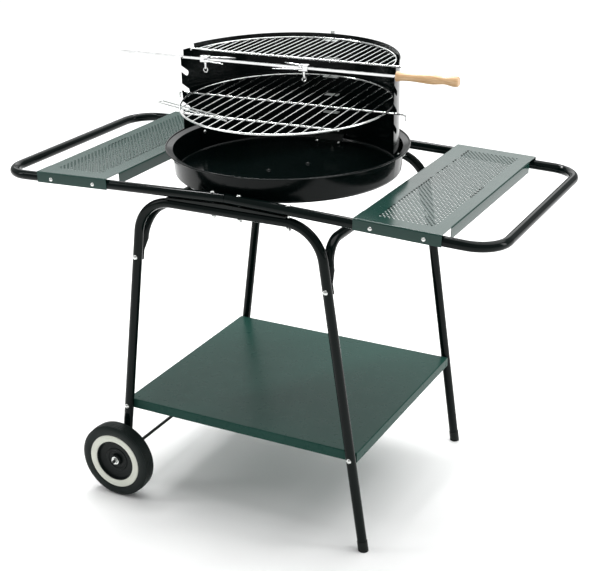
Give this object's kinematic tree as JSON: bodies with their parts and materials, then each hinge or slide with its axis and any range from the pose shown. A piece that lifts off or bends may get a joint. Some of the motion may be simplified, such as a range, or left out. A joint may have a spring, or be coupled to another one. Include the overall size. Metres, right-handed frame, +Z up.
{
  "type": "kettle charcoal grill",
  "caption": "Wheeled charcoal grill with tubular trolley, round fire bowl, half-round windshield, wire grates, rotating spit, side shelves and lower shelf.",
  "frame": {"origin": "on the floor under the middle of the grill, at the bottom centre of its bounding box", "axes": "+X along the long tubular rail towards the two feet, -X towards the wheels; -Y the open front of the windshield; +Z up"},
  "size_m": [1.2332, 0.6738, 1.043],
  "materials": {
    "tube_enamel": "glossy black enamel",
    "shelf_enamel": "glossy black enamel",
    "bowl_enamel": "black porcelain enamel",
    "side_shelf_paint": "black enamel",
    "carrier_paint": "black enamel",
    "zinc": "bright zinc plate",
    "chrome_wire": "bright chrome plate",
    "spit_chrome": "bright chrome plate",
    "tyre_rubber": "moulded black plastic",
    "whitewall_plastic": "white moulded plastic",
    "wheel_plastic": "black moulded plastic",
    "cap_plastic": "black plastic",
    "turned_wood": "varnished turned beech"
  },
  "bodies": {
    "trolley": {"rail_left": "tube_enamel", "rail_right": "tube_enamel", "front_arch": "tube_enamel", "rear_arch": "tube_enamel", "side_arch_left": "tube_enamel", "side_arch_right": "tube_enamel", "bowl_carrier": "carrier_paint", "rail_bolts": "zinc", "rail_nuts": "zinc", "leg_bolts": "zinc", "leg_nuts": "zinc", "lower_shelf": "shelf_enamel", "lower_shelf_bolts": "zinc", "lower_shelf_nuts": "zinc", "foot_cap_front": "cap_plastic", "foot_cap_rear": "cap_plastic", "axle": "zinc", "axle_washers": "zinc", "axle_nuts": "zinc", "side_shelf_left": "side_shelf_paint", "side_shelf_right": "side_shelf_paint", "side_shelf_screws": "zinc", "fire_bowl": "bowl_enamel", "bowl_bolts": "zinc", "bowl_nuts": "zinc", "windshield": "bowl_enamel", "support_ladder": "zinc", "ladder_screw": "zinc", "ladder_nut": "zinc", "shield_foot": "zinc", "shield_screws": "zinc", "shield_nuts": "zinc"},
    "wheel_front": {"tyre_front": "tyre_rubber", "whitewall_front": "whitewall_plastic", "wheel_disc_front": "wheel_plastic"},
    "wheel_rear": {"tyre_rear": "tyre_rubber", "whitewall_rear": "whitewall_plastic", "wheel_disc_rear": "wheel_plastic"},
    "spit": {"spit_rod": "spit_chrome", "spit_handle": "turned_wood"},
    "spit_fork_left": {"fork_left": "spit_chrome"},
    "spit_fork_right": {"fork_right": "spit_chrome"},
    "fork_screw_left": {"thumbscrew_left": "spit_chrome"},
    "fork_screw_right": {"thumbscrew_right": "spit_chrome"},
    "grate": {"cooking_grate": "chrome_wire"},
    "upper_grate": {"warming_grate": "chrome_wire"}
  },
  "joints": [
    {"name": "wheel_front_spin", "type": "hinge", "parent": "trolley", "child": "wheel_front", "pos_m": [-0.31143, -0.313, 0.092], "axis": [0, 1, 0], "continuous": true},
    {"name": "wheel_rear_spin", "type": "hinge", "parent": "trolley", "child": "wheel_rear", "pos_m": [-0.31143, 0.313, 0.092], "axis": [0, 1, 0], "continuous": true},
    {"name": "spit_spin", "type": "hinge", "parent": "trolley", "child": "spit", "pos_m": [0.00028, -0.00699, 1.0125], "axis": [0.9992, 0.0401, 0], "continuous": true},
    {"name": "fork_left_slide", "type": "slide", "parent": "spit", "child": "spit_fork_left", "axis": [0.9992, 0.0401, 0], "range_m": [-0.02, 0.09]},
    {"name": "fork_right_slide", "type": "slide", "parent": "spit", "child": "spit_fork_right", "axis": [0.9992, 0.0401, 0], "range_m": [-0.03, 0.15]},
    {"name": "thumbscrew_left_turn", "type": "hinge", "parent": "spit_fork_left", "child": "fork_screw_left", "pos_m": [-0.20256, -0.01514, 1.0125], "axis": [0, 0, 1], "continuous": true},
    {"name": "thumbscrew_right_turn", "type": "hinge", "parent": "spit_fork_right", "child": "fork_screw_right", "pos_m": [0.04724, -0.00511, 1.0125], "axis": [0, 0, 1], "continuous": true},
    {"name": "cooking_grate_unhook", "type": "slide", "parent": "trolley", "child": "grate", "axis": [0.0329, -0.8185, 0.5736], "range_m": [0, 0.06]},
    {"name": "warming_grate_lift", "type": "slide", "parent": "trolley", "child": "upper_grate", "axis": [0, 0, 1], "range_m": [0, 0.12]}
  ]
}
